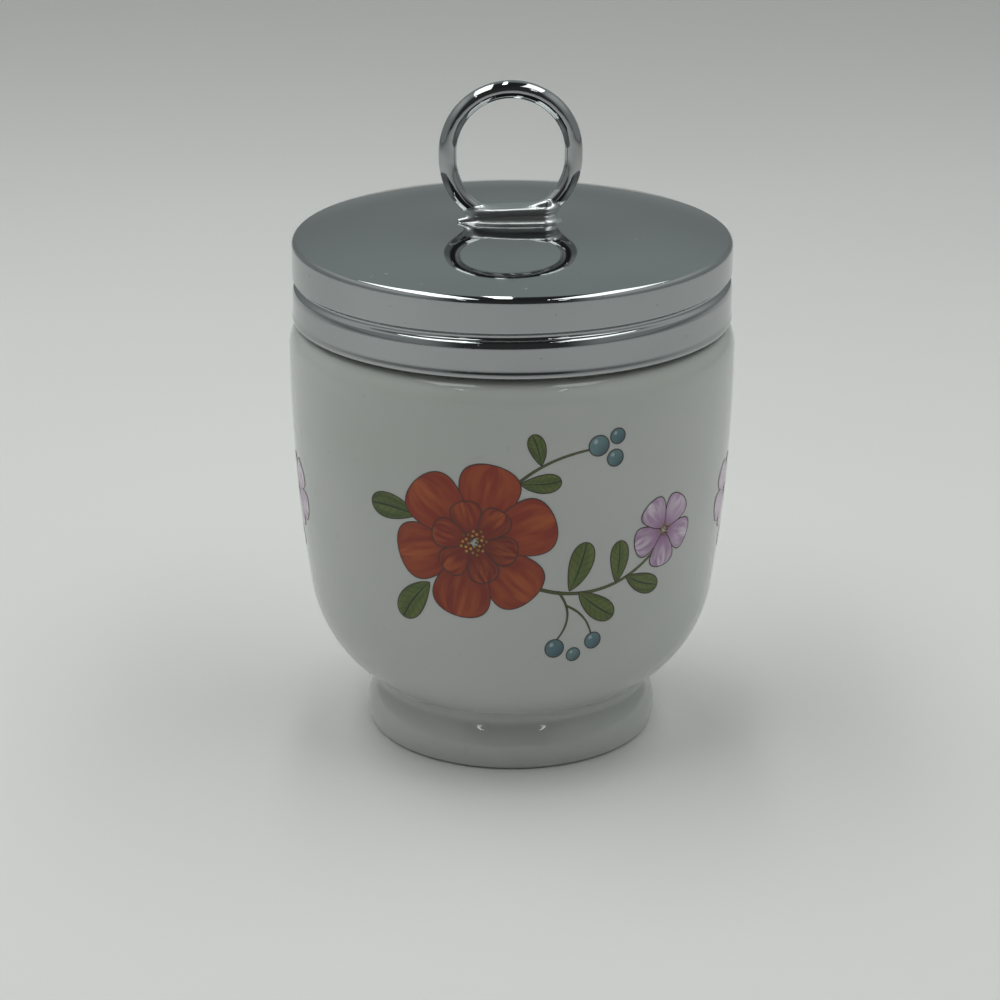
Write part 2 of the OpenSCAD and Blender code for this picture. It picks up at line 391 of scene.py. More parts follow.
def cup_outline():
    quarter = np.linspace(0, math.pi / 2, 9)
    foot_edge_r = FOOT_CENTRE[0] + FOOT_CURVE_R * math.cos(FOOT_LOW)
    edge = np.stack([FOOT_STAND_R + (foot_edge_r - FOOT_STAND_R) * np.sin(quarter),
                     FOOT_EDGE_H * (1 - np.cos(quarter))], 1)
    corner = np.linspace(0, math.pi / 2, 15)[1:]
    shoulder = np.stack([NECK_R + (CUP_R - NECK_R) * np.cos(corner),
                         SHOULDER_Z + SHOULDER_H * np.sin(corner)], 1)
    inner_r = CUP_R - WALL_T
    rise = np.linspace(1, 0, 13)[:-1]
    neck_in_r = NECK_R - NECK_WALL
    throat = np.stack([inner_r + (neck_in_r - inner_r) * ease(rise),
                       SHOULDER_Z + THROAT_H * rise], 1)
    hollow = np.linspace(0, math.pi / 2, 17)[1:]
    recess = np.stack([FOOT_IN_R * np.sin(hollow),
                       RECESS_DEPTH * np.cos(hollow) ** RECESS_FULLNESS], 1)
    return np.vstack([
        edge[:-1],
        arc(FOOT_CENTRE, FOOT_CURVE_R, FOOT_LOW, FOOT_TOP, 16),
        arc(WAIST_CENTRE, WAIST_R, FOOT_TOP + math.pi, BOWL_LOW + math.pi, 12, 1),
        arc(BOWL_CENTRE, BOWL_R, BOWL_LOW, -WALL_SWEEP, 26, 1),
        arc(WALL_CENTRE, WALL_CURVE_R, -WALL_SWEEP, 0, 18, 1),
        shoulder,
        [[NECK_R, LEDGE_Z + NECK_FOOT_H], [NECK_R, (LEDGE_Z + RIM_Z) / 2]],
        arc([RIM_MID_R, RIM_Z - RIM_R], RIM_R, 0, math.pi, 16),
        [[neck_in_r, (LEDGE_Z + RIM_Z) / 2]],
        throat,
        arc(WALL_CENTRE, WALL_CURVE_R - WALL_T, 0, -WALL_SWEEP, 10),
        arc(BOWL_CENTRE, BOWL_R - WALL_T, -WALL_SWEEP, -math.pi / 2, 18, 1),
        [[BOWL_CENTRE[0] / 2, BOWL_BASE_Z + WALL_T]]]), recess


# %% [markdown]
# ## The cup
# The porcelain is cast as one piece, glazed and fired. A revolved outline is
# the honest way to make it. The last ring of points is joined to the first,
# so there is no seam, and the underside has its own shallow hollow.

# %% Revolve the outline into the cup
CUP_TURNS = 240


def make_cup():
    outside, recess = cup_outline()
    r, z = np.vstack([recess, outside]).T
    angles = np.linspace(0, 2 * math.pi, CUP_TURNS, endpoint=False)
    rings = [np.stack([r * math.cos(a), r * math.sin(a), z], 1) for a in angles]
    top = [0, 0, (BOWL_BASE_Z + WALL_T) * MM]
    bottom = [0, 0, RECESS_DEPTH * MM]
    return loft("porcelain_cup", np.array(rings) * MM, bottom, top)


cup = make_cup()
print("cup has", len(cup.data.polygons), "faces")

# %% [markdown]
# ### The glaze
# Glazed porcelain is a white body under a thin layer of glass. The body's
# colour drifts very slightly, the glass is not quite flat, and the ring that
# the cup stands on is wiped clean of glaze before firing, so it is matt.

# %% Glazed porcelain
GLAZE_CLEAN = rgb(191, 192, 190)
GLAZE_DRIFT = rgb(186, 188, 184)
BARE_CLAY = rgb(222, 216, 204)


def glaze_paint(g):
    place = g.place()
    x, y, z = g.split(place)
    radius = (x * x + y * y).root()
    drift = g.noise(place, 38.0).ramp(0.3, 0.7)
    low = 1 - z.ramp(0.00008, 0.0002)
    bare = low * radius.ramp(0.0166, 0.0172)
    speck = g.noise(place, 900.0, 0.0).ramp(0.80, 0.84)
    glazed = g.blend(drift, GLAZE_CLEAN, GLAZE_DRIFT)
    dusty = g.blend(speck * 0.12, glazed, rgb(150, 146, 138))
    wave = g.noise(place, 90.0, 1.0)
    grain = g.noise(place, 2600.0, 2.0)
    return {
        "Base Color": g.blend(bare, dusty, BARE_CLAY),
        "Roughness": 0.035 + drift * 0.03 + bare * 0.5,
        "Normal": g.bump(wave * 0.00003 + bare * grain * 0.00004),
    }


glaze = material("glazed_porcelain", {"IOR": 1.5}, glaze_paint)
cup.data.materials.append(glaze)
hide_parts("cup")
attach(cup, "cup")

# %% [markdown]
# ## The thread on the neck
# Under the cap a single low thread winds almost once round the neck and fades
# out at both ends. It follows a path, so Geometry Nodes make it: a spiral, a radius
# that fades at its ends, and a round section swept along it.

# %% Geometry Nodes: a tree with named inputs
INPUT_KINDS = {"Geometry": "Geometry", "Count": "Int", "Finish": "Material"}


def geometry_graph(name, *labels):
    """A tree whose inputs are a geometry, numbers and the finish."""
    tree = bpy.data.node_groups.new(name, "GeometryNodeTree")
    for label in ("Geometry", *labels, "Finish"):
        kind = "NodeSocket" + INPUT_KINDS.get(label, "Float")
        tree.interface.new_socket(label, in_out="INPUT", socket_type=kind)
    tree.interface.new_socket("Geometry", in_out="OUTPUT", socket_type="NodeSocketGeometry")
    graph = Graph(tree)
    start = tree.nodes.new("NodeGroupInput")
    return graph, {s.name: Wire(graph, s) for s in start.outputs if s.name}


def close_graph(graph, geometry, finish):
    """Every tree ends in real faces that carry their material."""
    real = graph.node("GeometryNodeRealizeInstances", {0: geometry})
    smooth = graph.node("GeometryNodeSetShadeSmooth", {"Geometry": real})
    values = {"Geometry": smooth, "Material": finish}
    done = graph.node("GeometryNodeSetMaterial", values)
    end = graph.tree.nodes.new("NodeGroupOutput")
    graph.tree.links.new(done.socket, end.inputs[0])
    return graph


def grown(name, graph, values, base=None):
    """Runs the tree on base, and returns the result as a plain mesh."""
    holder = base or smooth_object(name + "_seed", [], [])
    modifier = holder.modifiers.new("nodes", "NODES")
    modifier.node_group = graph.tree
    for item in graph.tree.interface.items_tree:
        if item.in_out == "INPUT" and item.name in values:
            modifier[item.identifier] = values[item.name]
    settled = holder.evaluated_get(bpy.context.evaluated_depsgraph_get())
    mesh = bpy.data.meshes.new_from_object(settled)
    holder.modifiers.remove(modifier)
    bpy.data.objects.remove(holder)
    mesh.name = name
    return linked(name, mesh)


# %% The thread's tree
def thread_graph():
    g, given = geometry_graph("neck_thread_nodes", "Neck radius", "Ridge", "Rise", "Turns",
                              "Fade", "Start angle", "Start height")
    spiral = g.node("GeometryNodeCurveSpiral", {
        "Resolution": 240, "Rotations": given["Turns"],
        "Start Radius": given["Neck radius"], "End Radius": given["Neck radius"],
        "Height": given["Rise"]})
    placed = g.node("GeometryNodeTransform", {
        "Geometry": spiral, "Translation": g.vector(Z=given["Start height"]),
        "Rotation": g.vector(Z=given["Start angle"])})
    along = g.node("GeometryNodeSplineParameter")
    fade_in = (along / given["Fade"]).least(1)
    fade_out = ((1 - along) / given["Fade"]).least(1)
    size = given["Ridge"] * fade_in * fade_out
    swept = g.node("GeometryNodeCurveToMesh", {
        "Curve": placed, "Profile Curve": g.circle(14, 1.0), "Scale": size, "Fill Caps": True})
    return close_graph(g, swept, given["Finish"])


def helix_z(angle):
    """Height of the middle of the cap's groove, along the screw's helix."""
    return LID_BOTTOM_Z + GROOVE_Z + PITCH * (angle - FRONT) / 360


thread = grown("neck_thread", thread_graph(), {
    "Neck radius": NECK_R * MM, "Ridge": RIDGE_H * MM,
    "Rise": PITCH * THREAD_SWEEP / 360 * MM, "Turns": THREAD_SWEEP / 360,
    "Fade": THREAD_RAMP / THREAD_SWEEP, "Start angle": math.radians(THREAD_START),
    "Start height": (helix_z(THREAD_START) + PITCH / 2) * MM, "Finish": glaze})
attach(thread, "cup")
print("thread has", len(thread.data.polygons), "faces")

# %% [markdown]
# ## The cap
# The cap is spun from thin brass sheet and plated. Its thread is rolled into
# the side as a groove, so the groove climbs as it goes round. A section is
# drawn at each angle, with the groove at its own height, and the sections are
# lofted into one thin closed shell.

# %% One section of the cap at an angle
CAP_TURNS = 320
CROWN_POINTS = 44
LIP_BEAD = 0.1
LIP_BEAD_H = 1.0
ROLL_DEPTH = 0.66
ROLL_UP = 0.8
ROLL_DOWN = 1.5
ROLL_RISE = -0.15
CAP_LEAN = 0.008
EDGE_R = 0.95
PLAIN_ROW = 0.12


def thread_part(angle):
    """How much of the thread is there: it fades at both ends."""
    start = ease((angle - THREAD_START) / THREAD_RAMP)
    end = ease((THREAD_START + THREAD_SWEEP - angle) / THREAD_RAMP)
    return float(min(start, end))


def loop_z(angle):
    """The helix, coming back down where the groove has faded out."""
    over = angle - THREAD_START
    if over <= THREAD_SWEEP:
        return helix_z(angle)
    back = float(ease((over - THREAD_SWEEP) / (360 - THREAD_SWEEP)))
    return helix_z(THREAD_START + THREAD_SWEEP) - PITCH * THREAD_SWEEP / 360 * back


def roll(across):
    """Depth of the rolled groove from its top at 1 to its foot at -1."""
    upper = (1 + np.cos(math.pi * np.clip(across, 0, 1) ** 1.7)) / 2
    down = np.clip(-across, 0, 1)
    steep = (1 + np.cos(math.pi * np.clip(down / 0.5, 0, 1) ** 1.3)) / 2
    lower = 0.6 * steep + 0.4 * (1 - down) ** 1.2
    return np.where(across > 0, upper, lower)


def cap_side(angle, radius, steps):
    """Down the side: plain, grooved, plain, and swelling into the rolled lip."""
    across = np.linspace(1, -1, steps)
    across = across * abs(across) ** 0.5
    depth = ROLL_DEPTH * thread_part(angle) * roll(across)
    rise = np.where(across > 0, ROLL_UP, ROLL_DOWN) * across + ROLL_RISE
    groove = np.stack([radius - depth, loop_z(angle) + rise], 1)
    above = [[radius, LID_SIDE_Z - PLAIN_ROW], groove[0] + [0, PLAIN_ROW]]
    below = [groove[-1] - [0, PLAIN_ROW]]
    down = np.linspace(1, 0, 6)
    bead_r = radius + LIP_BEAD * ease(1 - down)
    bead = np.stack([bead_r, LID_BOTTOM_Z + LID_WALL / 2 + LIP_BEAD_H * down], 1)
    return np.vstack([above, groove, below, bead])


def edge_start():
    """Where the round edge leaves the crown: radius, and slope there."""
    meets, drop = LID_R - EDGE_R, 0.0
    for _ in range(20):
        drop = math.atan(2 * CROWN_H * (meets - CROWN_R) / (CROWN_EDGE_R - CROWN_R) ** 2)
        meets = LID_R - EDGE_R + EDGE_R * math.sin(drop)
    return meets, drop


EDGE_MEETS, EDGE_DROP = edge_start()
LID_SIDE_Z = lid_top_at(EDGE_MEETS) - EDGE_R * math.cos(EDGE_DROP)


def cap_section(angle):
    radii = np.linspace(0, EDGE_MEETS, CROWN_POINTS)[1:-1]
    edge_centre = [LID_R - EDGE_R, LID_SIDE_Z]
    lip_centre = [LID_R + LIP_BEAD - LID_WALL / 2, LID_BOTTOM_Z + LID_WALL / 2]
    under = radii[::-3]
    return np.vstack([
        np.stack([radii, lid_top_z(radii)], 1),
        arc(edge_centre, EDGE_R, math.pi / 2 - EDGE_DROP, 0, 12),
        cap_side(angle, LID_R, 37),
        arc(lip_centre, LID_WALL / 2, 0, -math.pi, 8, 1)[:-1],
        cap_side(angle, LID_R - LID_WALL, 15)[::-1],
        arc(edge_centre, EDGE_R - LID_WALL, 0, math.pi / 2 - EDGE_DROP, 4),
        np.stack([under, lid_top_z(under) - LID_WALL], 1)])


# %% Loft the cap
LID_MID_Z = lid_top_at(0.0)


def make_cap():
    angles = THREAD_START + np.arange(CAP_TURNS) * 360 / CAP_TURNS
    sections = []
    for angle in angles:
        r, z = cap_section(angle).T
        x, y = r * math.cos(math.radians(angle)), r * math.sin(math.radians(angle))
        high = np.clip((z - LID_BOTTOM_Z) / LID_H, 0, 1)
        sections.append(np.stack([x, y, z + CAP_LEAN * y * high], 1))
    under, top = [0, 0, (LID_MID_Z - LID_WALL) * MM], [0, 0, LID_MID_Z * MM]
    return loft("plated_cap", np.array(sections)[:, ::-1] * MM, under, top)


cap = make_cap()
print("cap has", len(cap.data.polygons), "faces")

# %% [markdown]
# ### The plating
# Chromium over nickel is a mirror, a little darker and bluer than silver.
# What makes it look handled is on the scale of a hair: a soft haze from
# wiping, hairline scratches from side to side, and the odd pinhole.

# %% Plated metal
CHROME_BRIGHT = (0.398, 0.408, 0.415, 1.0)
CHROME_DULL = (0.358, 0.37, 0.378, 1.0)
BRAZE_BRIGHT = (0.58, 0.59, 0.597, 1.0)
CAP_NICK = (22.9 * MM, -19.7 * MM, 62.9 * MM)
HAIR_STRETCH = (260.0, 3200.0, 900.0)


def plate_paint(wave_scale, wave_height, satin=0.0, bright=CHROME_BRIGHT):
    def paint(g):
        place = g.place()
        haze = g.noise(place, 55.0, 3.0).ramp(0.35, 0.75)
        fine = g.noise(g.stretch(place, (1.0, 1.0, 3.0)), 800.0, 3.0).ramp(0.35, 0.7)
        hairs = g.noise(g.stretch(place, HAIR_STRETCH), 1.0, 2.0, 0.6).ramp(0.66, 0.72)
        nick = 1 - g.distance(place, CAP_NICK).ramp(0.00012, 0.0003)
        pit = g.noise(place, 1500.0, 0.0).ramp(0.85, 0.89).most(nick)
        dull = (haze * 0.5 + pit * 0.5).least(1)
        wave = g.noise(place, wave_scale, 1.0)
        return {
            "Base Color": g.blend(dull, bright, CHROME_DULL),
            "Roughness": 0.03 + satin + haze * 0.03 + fine * 0.015 + hairs * 0.05 + pit * 0.2,
            "Normal": g.bump(wave * wave_height - pit * 0.00002 + hairs * 0.000001),
        }
    return paint


plate = material("plated_chrome", {"Metallic": 1.0}, plate_paint(70.0, 0.00002))
cap.data.materials.append(plate)
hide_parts("lid_shell")
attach(cap, "cap")

# %% [markdown]
# ## The ring
# A short wire is bent round a mandrel and brazed to the cap. It is a section
# swept along a path, so Geometry Nodes make it: a circle stretched upright,
# with its foot pressed flat where it sits on the cap.

# %% The ring's tree
WIRE_D = 2.44
RING_R = 8.55
RING_STRAIGHT = 0.84
SADDLE_L = 12.4
SADDLE_W = 4
SADDLE_H = 1.55
RING_SEAT_H = 0.45
RING_SHIFT = -0.25
RING_TWIST = 0.07
SADDLE_TOP_Z = LID_MID_Z + SADDLE_H
RING_MID_Z = SADDLE_TOP_Z - WIRE_D / 2 + RING_R + RING_STRAIGHT / 2


def ring_graph():
    g, given = geometry_graph("ring_nodes", "Ring radius", "Wire radius", "Straight",
                              "Middle height", "Foot height", "Shift", "Twist")
    circle = g.circle(220, given["Ring radius"])
    x, y, z = g.split(g.node("GeometryNodeInputPosition"))
    upper = y > 0
    upright = y + (upper - 0.5) * given["Straight"] + given["Middle height"]
    bent = g.moved(circle, g.vector(X=x + given["Shift"], Y=x * given["Twist"], Z=upright))
    section = g.circle(36, given["Wire radius"])
    wire = g.node("GeometryNodeCurveToMesh", {"Curve": bent, "Profile Curve": section})
    x, y, z = g.split(g.node("GeometryNodeInputPosition"))
    pressed = g.moved(wire, g.vector(X=x, Y=y, Z=z.most(given["Foot height"])))
    return close_graph(g, pressed, given["Finish"])


wire_plate = material("plated_wire", {"Metallic": 1.0}, plate_paint(420.0, 0.00006))
ring = grown("lifting_ring", ring_graph(), {
    "Ring radius": RING_R * MM, "Wire radius": WIRE_D / 2 * MM,
    "Straight": RING_STRAIGHT * MM, "Middle height": RING_MID_Z * MM,
    "Foot height": (LID_MID_Z + RING_SEAT_H) * MM, "Shift": RING_SHIFT * MM,
    "Twist": RING_TWIST, "Finish": wire_plate})
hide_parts("ring_handle")
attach(ring, "cap")
print("ring is", [round(v / MM, 2) for v in ring.dimensions], "mm")

# %% [markdown]
# ## The brazed foot of the ring
# Molten braze pulls itself into a smooth fillet between the ring and the bar
# it stands on. Such a soft joint is easiest as a distance field: each form
# gives its distance, and a smooth minimum melts them together. A blocky
# voxel mesh of the whole is then pulled onto the field's zero surface.

# %% Distances to the bar, the wire and the runs of solder
FILLET = 0.9
SLAB_ROUND = 0.45
SEAM_BLEND = 0.08
SLAB_Z = 74.25
SLAB_TOP_Z = 75.25
SLAB_TILT = 0.045
PLINTH_INSET = 0.3
LID_FILLET = 1.3
UNDER_LID = 0.04
APRON = 1.5
SADDLE_BASE_Z = 72.75
BRAZE_TOP_Z = 77.6
INSIDE_WIRE = 0.03
TONGUE = ((4.7, -1.1, 75.9), (1.6, -1.1, 75.05), 0.5, 0.2)
TONGUE_BLEND = 0.35
SPIKE = ((-5.2, -1.0, 73.7), (-8.6, -1.4, 73.2), 0.75, 0.06)
SPIKE_BLEND = 0.3


def soft_least(first, second, blend):
    """The smaller distance, melted together over a width of blend."""
    part = np.clip(0.5 + 0.5 * (second - first) / blend, 0, 1)
    return second + (first - second) * part - blend * part * (1 - part)


def wire_distance(p):
    up = p[:, 2] - RING_MID_Z
    half = RING_STRAIGHT / 2
    up = up - np.clip(up, -half, half)
    along = p[:, 0] - RING_SHIFT
    around = np.hypot(along, up) - RING_R
    return np.hypot(around, p[:, 1] - along * RING_TWIST) - (WIRE_D / 2 - INSIDE_WIRE)


def slab_distance(p, low, high, inset, tilt=0):
    """A flat slab with rounded edges and round ends. tilt lifts its right end."""
    tall = (high - low) / 2
    end_r = SADDLE_W / 2 - inset
    run = SADDLE_L / 2 - inset - end_r
    x = p[:, 0] - np.clip(p[:, 0], -run, run)
    out = np.hypot(x, p[:, 1]) - (end_r - SLAB_ROUND)
    up = np.abs(p[:, 2] - p[:, 0] * tilt - low - tall) - (tall - SLAB_ROUND)
    over = np.hypot(np.maximum(out, 0), np.maximum(up, 0))
    return over + np.minimum(np.maximum(out, up), 0) - SLAB_ROUND


def drop_distance(p, start, end, start_r, end_r):
    """A run of solder that tapers from start to end."""
    start, end = np.array(start), np.array(end)
    run = end - start
    part = np.clip((p - start) @ run / (run @ run), 0, 1)
    near = np.linalg.norm(p - start - part[:, None] * run, axis=1)
    return near - (start_r + (end_r - start_r) * part)


def lid_distance(p):
    """Down to just under the cap, so that the fillet runs out into it."""
    return p[:, 2] - lid_top_z(np.hypot(p[:, 0], p[:, 1])) + UNDER_LID


def braze_distance(p):
    slab = slab_distance(p, SLAB_Z, SLAB_TOP_Z, 0, SLAB_TILT)
    plinth = slab_distance(p, SADDLE_BASE_Z - 0.6, SLAB_Z + 0.12, PLINTH_INSET)
    bar = soft_least(slab, plinth, SEAM_BLEND)
    joined = soft_least(bar, wire_distance(p), FILLET)
    joined = soft_least(joined, drop_distance(p, *TONGUE), TONGUE_BLEND)
    footed = soft_least(joined, lid_distance(p), LID_FILLET)
    footed = soft_least(footed, drop_distance(p, *SPIKE), SPIKE_BLEND)
    apron = slab_distance(p, SADDLE_BASE_Z - 2, BRAZE_TOP_Z + 2, -APRON)
    ends = np.maximum(p[:, 2] - BRAZE_TOP_Z, SADDLE_BASE_Z - p[:, 2])
    return np.maximum(footed, np.maximum(apron, ends))


# %% A voxel mesh pulled onto the field
VOXEL = 0.11
VOXEL_LOW = (-11.5, -4.2, SADDLE_BASE_Z - 0.5)
VOXEL_HIGH = (11.5, 4.2, BRAZE_TOP_Z + 0.5)
PULLS = 6
ROUNDS = 4
SLOPE_STEP = 0.004
SLOPE_LEAST = 0.25


def voxel_start():
    """Where the grid starts, its size, and which voxels are inside."""
    low, high = np.array(VOXEL_LOW), np.array(VOXEL_HIGH)
    count = np.ceil((high - low) / VOXEL).astype(int)
    axes = [low[i] + VOXEL * (np.arange(count[i]) + 0.5) for i in range(3)]
    grid = np.stack(np.meshgrid(*axes, indexing="ij"), -1)
    solid = (braze_distance(grid.reshape(-1, 3)) < 0).reshape(count)
    return low, count, solid


def voxel_faces(solid):
    """Corner indices of the faces where solid meets empty, facing outwards."""
    quads = []
    unit = np.eye(3, dtype=int)
    for axis in range(3):
        first, second = [unit[a] for a in range(3) if a != axis]
        step = np.diff(solid.astype(int), axis=axis)
        for sign in (1, -1):
            flip = (sign == 1) != (axis == 1)
            for cell in np.argwhere(step == sign) + unit[axis]:
                corners = [tuple(cell + shift)
                           for shift in (0 * first, first, first + second, second)]
                quads.append(corners[::-1] if flip else corners)
    return quads


def slope_along(points, axis):
    ahead = braze_distance(points + SLOPE_STEP * axis)
    behind = braze_distance(points - SLOPE_STEP * axis)
    return (ahead - behind) / (2 * SLOPE_STEP)


def pull(points):
    """Newton's steps along the field's gradient."""
    for _ in range(PULLS):
        value = braze_distance(points)
        slope = np.stack([slope_along(points, axis) for axis in np.eye(3)], 1)
        size = np.maximum((slope ** 2).sum(1), SLOPE_LEAST)
        points = points - slope * np.clip(value / size, -VOXEL, VOXEL)[:, None]
    return points


def relax(points, links):
    """Each point moves half way to the middle of its neighbours."""
    total = np.zeros_like(points)
    number = np.zeros(len(points))
    np.add.at(total, links[:, 0], points[links[:, 1]])
    np.add.at(total, links[:, 1], points[links[:, 0]])
    np.add.at(number, links[:, 0], 1)
    np.add.at(number, links[:, 1], 1)
    return (points + total / number[:, None]) / 2


# %% Make the brazed foot
def make_braze():
    low, count, solid = voxel_start()
    quads = voxel_faces(solid)
    names = {}
    faces = [[names.setdefault(corner, len(names)) for corner in quad] for quad in quads]
    points = low + VOXEL * np.array(list(names), float)
    links = {tuple(sorted((f[i], f[(i + 1) % 4]))) for f in faces for i in range(4)}
    links = np.array(sorted(links))
    for _ in range(ROUNDS):
        points = pull(relax(points, links))
    return smooth_object("brazed_foot", points * MM, faces)


braze = make_braze()
braze_plate = material("plated_braze", {"Metallic": 1.0},
                       plate_paint(420.0, 0.00006, 0.24, BRAZE_BRIGHT))
braze.data.materials.append(braze_plate)
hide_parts("ring_saddle")
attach(braze, "cap")
print("brazed foot has", len(braze.data.polygons), "faces")

# %% [markdown]
# ## The rivet and its washer
# Inside the cap a rivet holds the ring's bar, with a washer under its peened
# head. The engineering model's own solids already have the right shape, so
# they only need their finish: turned steel, dull, with rings from the tool.

# %% Turned steel
STEEL_LIGHT = (0.56, 0.55, 0.53, 1.0)
STEEL_DARK = (0.40, 0.39, 0.37, 1.0)
TOOL_RINGS = 42000


def steel_paint(g):
    place = g.place()
    x, y, z = g.split(place)
    radius = (x * x + y * y).root()
    rings = (radius * TOOL_RINGS).sin() * 0.5 + 0.5
    stain = g.noise(place, 420.0, 3.0).ramp(0.4, 0.75)
    return {
        "Base Color": g.blend(stain, STEEL_LIGHT, STEEL_DARK),
        "Roughness": 0.26 + rings * 0.08 + stain * 0.15,
        "Normal": g.bump(rings * 0.000004 + stain * 0.000004),
    }


steel = material("turned_steel", {"Metallic": 1.0}, steel_paint)
for node_name in ("ring_rivet", "rivet_washer"):
    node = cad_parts[node_name]
    node.data.materials.clear()
    node.data.materials.append(steel)
    print(node_name, "now has", node.data.materials[0].name)

# %% [markdown]
# ## The printed sprigs
# The cup is decorated with a transfer: a thin printed sheet, laid on the
# glaze and fired in. The design here is a plain garden sprig. It is drawn
# flat, in millimetres round the cup and millimetres up, and each shape knows
# how far every point is from its outline, so that the shader can ink it.

# %% Flat shapes that know their outline
PRINT_LIFT = 0.02
LAYER_LIFT = 0.008
ROWS = 26
COLUMNS = 15
STEM_ROWS, STEM_COLUMNS = 40, 7
BERRY_ROWS, BERRY_COLUMNS = 19, 13
PATH_STEPS = 200


def outline_distance(points, outline):
    """Distance in millimetres of each point from a closed outline."""
    start, end = outline, np.roll(outline, -1, axis=0)
    run = end - start
    length = np.maximum((run ** 2).sum(1), 1e-12)
    away = points[:, None] - start[None]
    part = np.clip((away * run).sum(2) / length, 0, 1)
    return np.linalg.norm(away - part[..., None] * run, axis=2).min(1)


class Sheet:
    """All the printed shapes of one colour."""

    def __init__(self, name):
        self.name = name
        self.points, self.faces = [], []
        self.marks = {"edge": [], "along": [], "across": [], "tone": []}

    def add(self, grid, along, across, level, tone):
        rows, columns = grid.shape[:2]
        first = len(self.points)
        flat = grid.reshape(-1, 2)
        rim = np.vstack([grid[:, 0], grid[-1, 1:], grid[::-1, -1][1:], grid[0, ::-1][1:-1]])
        lift = PRINT_LIFT + level * LAYER_LIFT
        self.points += [(x * MM, -lift * MM, z * MM) for x, z in flat]
        self.marks["edge"] += list(outline_distance(flat, rim))
        self.marks["along"] += list(np.repeat(along, columns))
        self.marks["across"] += list(np.tile(across, rows))
        self.marks["tone"] += [tone] * (rows * columns)
        for i in range(rows - 1):
            for j in range(columns - 1):
                k = first + i * columns + j
                self.faces.append((k, k + 1, k + columns + 1, k + columns))


# %% A petal or leaf, a stem and a berry
def crosswise(columns):
    """From -1 to 1, closer together at both sides."""
    return np.sin(np.linspace(-math.pi / 2, math.pi / 2, columns))


def ribbon(middle, half, side, across):
    """A grid of points: half as wide to each side of a middle line."""
    return middle[:, None] + across[None, :, None] * (half[:, None] * side)[:, None]


def petal(sheet, base, heading, length, width, bend, root, blunt, level, tone):
    """A blade from base. root below 1 gives a round foot, blunt a round end."""
    along = ease(np.linspace(0, 1, ROWS))
    across = crosswise(COLUMNS)
    swing = heading + bend * along
    steps = np.linspace(0, 1, PATH_STEPS + 1)
    turn = heading + bend * steps
    path = np.cumsum(np.stack([np.cos(turn), np.sin(turn)], 1), 0)
    path = (path - path[0]) * length / PATH_STEPS
    middle = np.stack([np.interp(along, steps, path[:, i]) for i in range(2)], 1) + base
    shape = along ** root * np.sqrt(np.maximum(1 - along ** blunt, 0))
    half = width / 2 * shape / shape.max()
    side = np.stack([np.sin(swing), -np.cos(swing)], 1)
    sheet.add(ribbon(middle, half, side, across), along, across, level, tone)


def stem(sheet, knots, width):
    """A smooth ribbon through a few points."""
    knots = np.array(knots, float)
    gaps = np.linalg.norm(np.diff(knots, axis=0), axis=1)
    where = np.concatenate([[0], np.cumsum(gaps)]) / gaps.sum()
    along = np.linspace(0, 1, STEM_ROWS)
    terms = np.polyfit(where, knots, len(knots) - 1)
    path = np.stack([np.polyval(terms[:, i], along) for i in range(2)], 1)
    run = np.gradient(path, axis=0)
    side = np.stack([run[:, 1], -run[:, 0]], 1) / np.linalg.norm(run, axis=1)[:, None]
    across = np.linspace(-1, 1, STEM_COLUMNS)
    half = width / 2 * (1 - 0.35 * along)
    sheet.add(ribbon(path, half, side, across), along, across, 0, 0.5)


def berry(sheet, centre, radius, level, tone):
    """A round fruit with its light from the upper left."""
    along = ease(np.linspace(0, 1, BERRY_ROWS))
    across = crosswise(BERRY_COLUMNS)
    high = radius * (1 - 2 * along)
    half = np.sqrt(np.maximum(radius ** 2 - high ** 2, 0))
    x = centre[0] - half[:, None] * across
    z = np.repeat(centre[1] + high, BERRY_COLUMNS).reshape(-1, BERRY_COLUMNS)
    sheet.add(np.stack([x, z], -1), along, across, level, tone)


print("a petal has", (ROWS - 1) * (COLUMNS - 1), "faces")

# %% [markdown]
# ### Laying out the design
# One sprig has an open blossom, a stem with leaves in pairs, a few berries
# and a smaller blossom. Three sprigs go round the cup: one is a mirror image
# of the first, and one has mauve blossoms alone, so that no two are alike.

# %% One sprig
def blossom(sheet, centre, petals, length, width, turn, level, tone):
    for i in range(petals):
        heading = turn + 2 * math.pi * i / petals
        start = centre + 0.08 * length * np.array([math.cos(heading), math.sin(heading)])
        shade = tone + 0.18 * math.sin(5.3 * i + turn)
        petal(sheet, start, heading, length, width, bend=0.12 * math.sin(3 * i),
              root=0.62, blunt=4.5, level=level + i % 2, tone=shade)


